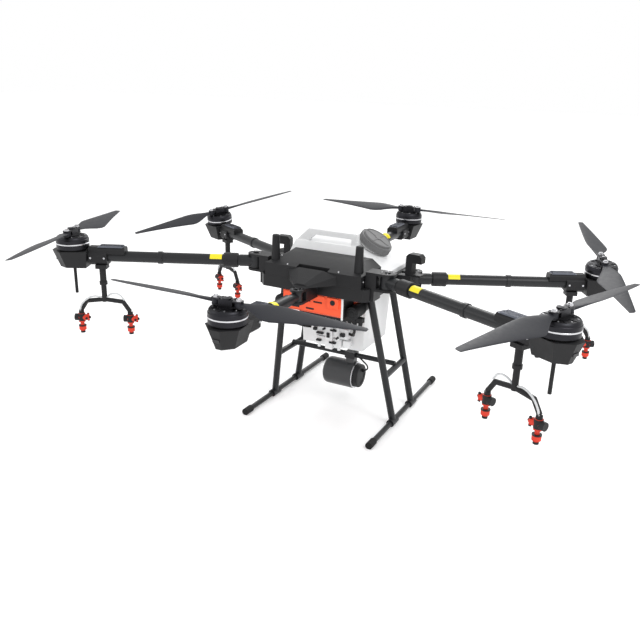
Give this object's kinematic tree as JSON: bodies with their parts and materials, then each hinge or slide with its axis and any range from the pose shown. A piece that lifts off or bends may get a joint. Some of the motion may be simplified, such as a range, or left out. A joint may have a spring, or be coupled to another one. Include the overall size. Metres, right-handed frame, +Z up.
{
  "type": "agricultural spray drone",
  "caption": "Folding multi-rotor crop-spraying drone with a lift-out liquid tank, drop nozzles under the corner arms and tubular skid landing gear.",
  "frame": {"origin": "on the ground under the middle of the airframe", "axes": "+Z up, -Y toward the nose, +X toward the drone's left side"},
  "size_m": [1.9887, 1.6704, 0.682],
  "materials": {
    "carbon_tube": "woven carbon, satin",
    "black_plastic": "fine moulded texture",
    "blade_carbon": "satin carbon composite",
    "motor_black": "anodised black, satin",
    "frame_black": "satin black",
    "white_tank": "translucent blow-moulded",
    "lid_gray": "matte ribbed",
    "gasket": "soft",
    "orange_case": "satin orange-red",
    "nozzle_red": "satin red",
    "radome_gray": "smooth dark gray",
    "board_green": "lacquered board",
    "pin_steel": "turned steel",
    "foot_rubber": "moulded rubber",
    "lens_glass": "dark window"
  },
  "bodies": {
    "airframe": {"airframe": "frame_black", "front_cover": "black_plastic", "nose_camera": "lens_glass", "hinge_pins": "pin_steel", "power_board": "board_green", "antenna_masts": "black_plastic", "pump_case": "orange_case", "pump_set": "black_plastic", "radar_housing": "radome_gray", "landing_gear_left": "carbon_tube", "landing_gear_right": "carbon_tube", "skid_caps": "foot_rubber", "cross_bar": "carbon_tube", "arm_clips": "black_plastic"},
    "tank": {"tank": "white_tank", "lid_gasket": "gasket"},
    "tank_lid": {"tank_lid": "lid_gray"},
    "radar_antenna": {"radar_antenna": "board_green"},
    "arm_rear_left": {"arm_rear_left": "carbon_tube", "pod_rear_left": "black_plastic", "nozzle_hanger_rear_left": "black_plastic", "nozzles_rear_left": "nozzle_red"},
    "rotor_rear_left": {"rotor_rear_left": "motor_black"},
    "blade_rear_left_a": {"blade_rear_left_a": "blade_carbon"},
    "blade_rear_left_b": {"blade_rear_left_b": "blade_carbon"},
    "lock_collar_rear_left": {"lock_collar_rear_left": "black_plastic"},
    "arm_rear_right": {"arm_rear_right": "carbon_tube", "pod_rear_right": "black_plastic", "nozzle_hanger_rear_right": "black_plastic", "nozzles_rear_right": "nozzle_red"},
    "rotor_rear_right": {"rotor_rear_right": "motor_black"},
    "blade_rear_right_a": {"blade_rear_right_a": "blade_carbon"},
    "blade_rear_right_b": {"blade_rear_right_b": "blade_carbon"},
    "lock_collar_rear_right": {"lock_collar_rear_right": "black_plastic"},
    "arm_front_left": {"arm_front_left": "carbon_tube", "pod_front_left": "black_plastic", "nozzle_hanger_front_left": "black_plastic", "nozzles_front_left": "nozzle_red"},
    "rotor_front_left": {"rotor_front_left": "motor_black"},
    "blade_front_left_a": {"blade_front_left_a": "blade_carbon"},
    "blade_front_left_b": {"blade_front_left_b": "blade_carbon"},
    "lock_collar_front_left": {"lock_collar_front_left": "black_plastic"},
    "arm_front_right": {"arm_front_right": "carbon_tube", "pod_front_right": "black_plastic", "nozzle_hanger_front_right": "black_plastic", "nozzles_front_right": "nozzle_red"},
    "rotor_front_right": {"rotor_front_right": "motor_black"},
    "blade_front_right_a": {"blade_front_right_a": "blade_carbon"},
    "blade_front_right_b": {"blade_front_right_b": "blade_carbon"},
    "lock_collar_front_right": {"lock_collar_front_right": "black_plastic"},
    "arm_nose": {"arm_nose": "carbon_tube", "pod_nose": "black_plastic"},
    "rotor_nose": {"rotor_nose": "motor_black"},
    "blade_nose_a": {"blade_nose_a": "blade_carbon"},
    "blade_nose_b": {"blade_nose_b": "blade_carbon"},
    "arm_tail": {"arm_tail": "carbon_tube", "pod_tail": "black_plastic"},
    "rotor_tail": {"rotor_tail": "motor_black"},
    "blade_tail_a": {"blade_tail_a": "blade_carbon"},
    "blade_tail_b": {"blade_tail_b": "blade_carbon"}
  },
  "joints": [
    {"name": "fold_rear_left", "type": "hinge", "parent": "airframe", "child": "arm_rear_left", "pos_m": [0.24, 0.13, 0.515], "axis": [0, 0, 1], "range_deg": [0, 62.4]},
    {"name": "spin_rear_left", "type": "hinge", "parent": "arm_rear_left", "child": "rotor_rear_left", "pos_m": [0.832, 0.439, 0.599], "axis": [0, -0.1513, 0.9885], "continuous": true},
    {"name": "blade_rear_left_a_fold", "type": "hinge", "parent": "rotor_rear_left", "child": "blade_rear_left_a", "pos_m": [0.81912, 0.47434, 0.60441], "axis": [0, -0.1513, 0.9885], "range_deg": [-90, 90]},
    {"name": "blade_rear_left_b_fold", "type": "hinge", "parent": "rotor_rear_left", "child": "blade_rear_left_b", "pos_m": [0.84488, 0.40366, 0.59359], "axis": [0, -0.1513, 0.9885], "range_deg": [-90, 90]},
    {"name": "lock_rear_left", "type": "slide", "parent": "arm_rear_left", "child": "lock_collar_rear_left", "axis": [0.8865, 0.4627, 0], "range_m": [0, 0.024]},
    {"name": "fold_rear_right", "type": "hinge", "parent": "airframe", "child": "arm_rear_right", "pos_m": [-0.24, 0.13, 0.515], "axis": [0, 0, -1], "range_deg": [0, 62.4]},
    {"name": "spin_rear_right", "type": "hinge", "parent": "arm_rear_right", "child": "rotor_rear_right", "pos_m": [-0.832, 0.439, 0.599], "axis": [0, -0.1513, 0.9885], "continuous": true},
    {"name": "blade_rear_right_a_fold", "type": "hinge", "parent": "rotor_rear_right", "child": "blade_rear_right_a", "pos_m": [-0.84674, 0.40438, 0.5937], "axis": [0, -0.1513, 0.9885], "range_deg": [-90, 90]},
    {"name": "blade_rear_right_b_fold", "type": "hinge", "parent": "rotor_rear_right", "child": "blade_rear_right_b", "pos_m": [-0.81726, 0.47362, 0.6043], "axis": [0, -0.1513, 0.9885], "range_deg": [-90, 90]},
    {"name": "lock_rear_right", "type": "slide", "parent": "arm_rear_right", "child": "lock_collar_rear_right", "axis": [-0.8865, 0.4627, 0], "range_m": [0, 0.024]},
    {"name": "fold_front_left", "type": "hinge", "parent": "airframe", "child": "arm_front_left", "pos_m": [0.25, -0.15, 0.571], "axis": [0, 0, 1], "range_deg": [0, 108.4]},
    {"name": "spin_front_left", "type": "hinge", "parent": "arm_front_left", "child": "rotor_front_left", "pos_m": [0.832, -0.439, 0.655], "axis": [0, 0, 1], "continuous": true},
    {"name": "blade_front_left_a_fold", "type": "hinge", "parent": "rotor_front_left", "child": "blade_front_left_a", "pos_m": [0.8452, -0.40336, 0.655], "axis": [0, 0, 1], "range_deg": [-90, 90]},
    {"name": "blade_front_left_b_fold", "type": "hinge", "parent": "rotor_front_left", "child": "blade_front_left_b", "pos_m": [0.81881, -0.47464, 0.655], "axis": [0, 0, 1], "range_deg": [-90, 90]},
    {"name": "lock_front_left", "type": "slide", "parent": "arm_front_left", "child": "lock_collar_front_left", "axis": [0.8957, -0.4447, 0], "range_m": [0, 0.024]},
    {"name": "fold_front_right", "type": "hinge", "parent": "airframe", "child": "arm_front_right", "pos_m": [-0.25, -0.15, 0.571], "axis": [0, 0, -1], "range_deg": [0, 108.4]},
    {"name": "spin_front_right", "type": "hinge", "parent": "arm_front_right", "child": "rotor_front_right", "pos_m": [-0.832, -0.439, 0.655], "axis": [0, 0, 1], "continuous": true},
    {"name": "blade_front_right_a_fold", "type": "hinge", "parent": "rotor_front_right", "child": "blade_front_right_a", "pos_m": [-0.81849, -0.47452, 0.655], "axis": [0, 0, 1], "range_deg": [-90, 90]},
    {"name": "blade_front_right_b_fold", "type": "hinge", "parent": "rotor_front_right", "child": "blade_front_right_b", "pos_m": [-0.8455, -0.40348, 0.655], "axis": [0, 0, 1], "range_deg": [-90, 90]},
    {"name": "lock_front_right", "type": "slide", "parent": "arm_front_right", "child": "lock_collar_front_right", "axis": [-0.8957, -0.4447, 0], "range_m": [0, 0.024]},
    {"name": "fold_nose", "type": "hinge", "parent": "airframe", "child": "arm_nose", "pos_m": [0, -0.3, 0.52], "axis": [0, 0, 1], "range_deg": [0, 80]},
    {"name": "spin_nose", "type": "hinge", "parent": "arm_nose", "child": "rotor_nose", "pos_m": [0, -0.686, 0.604], "axis": [0, 0, 1], "continuous": true},
    {"name": "blade_nose_a_fold", "type": "hinge", "parent": "rotor_nose", "child": "blade_nose_a", "pos_m": [0.038, -0.686, 0.604], "axis": [0, 0, 1], "range_deg": [-90, 90]},
    {"name": "blade_nose_b_fold", "type": "hinge", "parent": "rotor_nose", "child": "blade_nose_b", "pos_m": [-0.038, -0.686, 0.604], "axis": [0, 0, 1], "range_deg": [-90, 90]},
    {"name": "fold_tail", "type": "hinge", "parent": "airframe", "child": "arm_tail", "pos_m": [0, 0.265, 0.576], "axis": [0, 0, 1], "range_deg": [-85, 0]},
    {"name": "spin_tail", "type": "hinge", "parent": "arm_tail", "child": "rotor_tail", "pos_m": [0, 0.686, 0.66], "axis": [0, 0, 1], "continuous": true},
    {"name": "blade_tail_a_fold", "type": "hinge", "parent": "rotor_tail", "child": "blade_tail_a", "pos_m": [-0.038, 0.686, 0.66], "axis": [0, 0, 1], "range_deg": [-90, 90]},
    {"name": "blade_tail_b_fold", "type": "hinge", "parent": "rotor_tail", "child": "blade_tail_b", "pos_m": [0.038, 0.686, 0.66], "axis": [0, 0, 1], "range_deg": [-90, 90]},
    {"name": "tank_lift", "type": "slide", "parent": "airframe", "child": "tank", "axis": [0, 0, 1], "range_m": [0, 0.32]},
    {"name": "lid_lift", "type": "slide", "parent": "tank", "child": "tank_lid", "axis": [0.515, 0, 0.8572], "range_m": [0, 0.06]},
    {"name": "radar_spin", "type": "hinge", "parent": "airframe", "child": "radar_antenna", "pos_m": [0, 0.06, 0.124], "axis": [1, 0, 0], "continuous": true}
  ],
  "couplings": [
    {"joint": "fold_front_left", "follows": "fold_rear_left", "ratio": 1.7372},
    {"joint": "fold_front_right", "follows": "fold_rear_right", "ratio": 1.7372}
  ]
}
